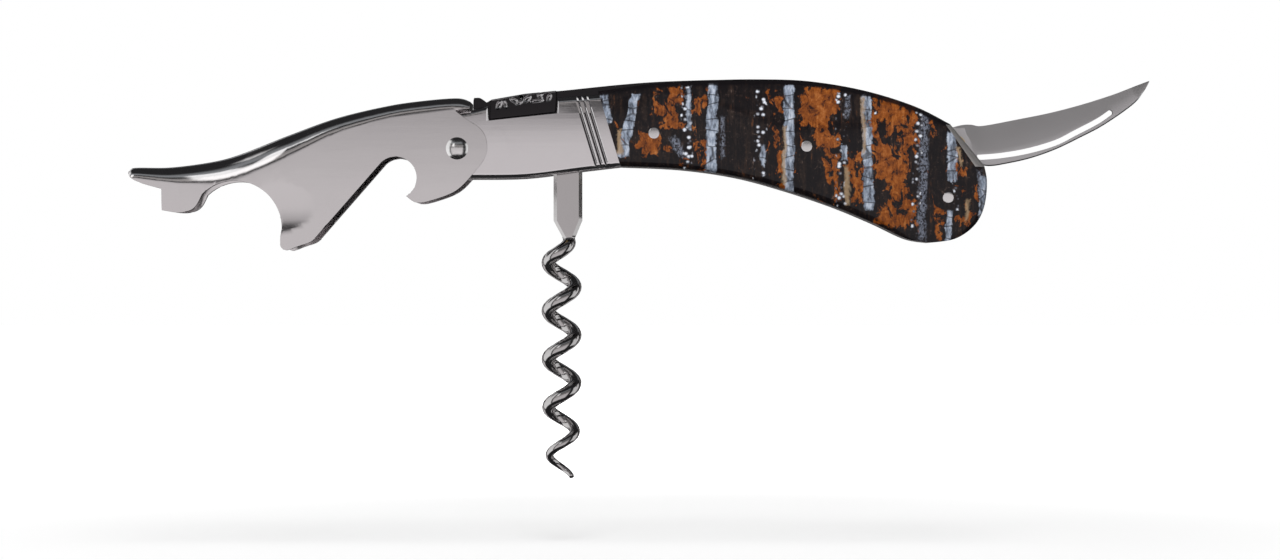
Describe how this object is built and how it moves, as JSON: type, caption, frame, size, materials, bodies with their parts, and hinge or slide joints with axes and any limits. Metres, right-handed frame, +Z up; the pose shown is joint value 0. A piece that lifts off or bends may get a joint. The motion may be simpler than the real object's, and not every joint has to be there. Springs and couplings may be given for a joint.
{
  "type": "waiters corkscrew",
  "caption": "Folding waiters corkscrew with a two-step lever, crown-cap notch, steel worm, foil blade and patterned scales.",
  "frame": {"origin": "on the worm's axis at the height of its point", "axes": "+X along the handle from the lever to the foil blade, +Y to the far side across the thickness, +Z up, from the worm's point to the handle"},
  "size_m": [0.2243, 0.02, 0.0877],
  "materials": {
    "polished_steel": "mirror-polished stainless steel",
    "liner_steel": "satin stainless steel",
    "spring_steel": "polished hardened steel with cut filework",
    "worm_steel": "polished steel wire and forged flat shank",
    "blade_steel": "satin stainless blade, ground edge",
    "pin_steel": "polished steel pins and rivet",
    "washer_brass": "plain brass washers",
    "scale_fossil": "polished, resin-stabilised fossil tooth, dark brown with orange and pale blue-grey plates"
  },
  "bodies": {
    "handle": {"near_liner": "liner_steel", "far_liner": "liner_steel", "near_bolster": "polished_steel", "far_bolster": "polished_steel", "near_scale": "scale_fossil", "far_scale": "scale_fossil", "near_bolster_pin": "pin_steel", "far_bolster_pin": "pin_steel", "main_spring": "spring_steel", "blade_spring": "spring_steel", "tail_spacer": "liner_steel", "front_pin": "pin_steel", "middle_pin": "pin_steel", "rear_pin": "pin_steel", "stop_pin": "pin_steel", "lever_rivet": "pin_steel", "near_lever_washer": "washer_brass", "far_lever_washer": "washer_brass", "worm_pin": "pin_steel", "near_worm_washer": "washer_brass", "far_worm_washer": "washer_brass", "blade_pin": "pin_steel", "near_blade_washer": "washer_brass", "far_blade_washer": "washer_brass"},
    "lever": {"lever": "polished_steel"},
    "worm": {"worm": "worm_steel"},
    "blade": {"blade": "blade_steel"}
  },
  "joints": [
    {"name": "lever_fold", "type": "hinge", "parent": "handle", "child": "lever", "pos_m": [-0.0226, 0, 0.0721], "axis": [0, -1, 0], "range_deg": [0, 160]},
    {"name": "worm_fold", "type": "hinge", "parent": "handle", "child": "worm", "pos_m": [0.0014, 0, 0.0716], "axis": [0, -1, 0], "range_deg": [0, 84]},
    {"name": "blade_fold", "type": "hinge", "parent": "handle", "child": "blade", "pos_m": [0.0855, 0, 0.0723], "axis": [0, -1, 0], "range_deg": [0, 145]}
  ],
  "couplings": [
    {"joint": "worm_fold", "follows": "lever_fold", "ratio": 0.525}
  ]
}
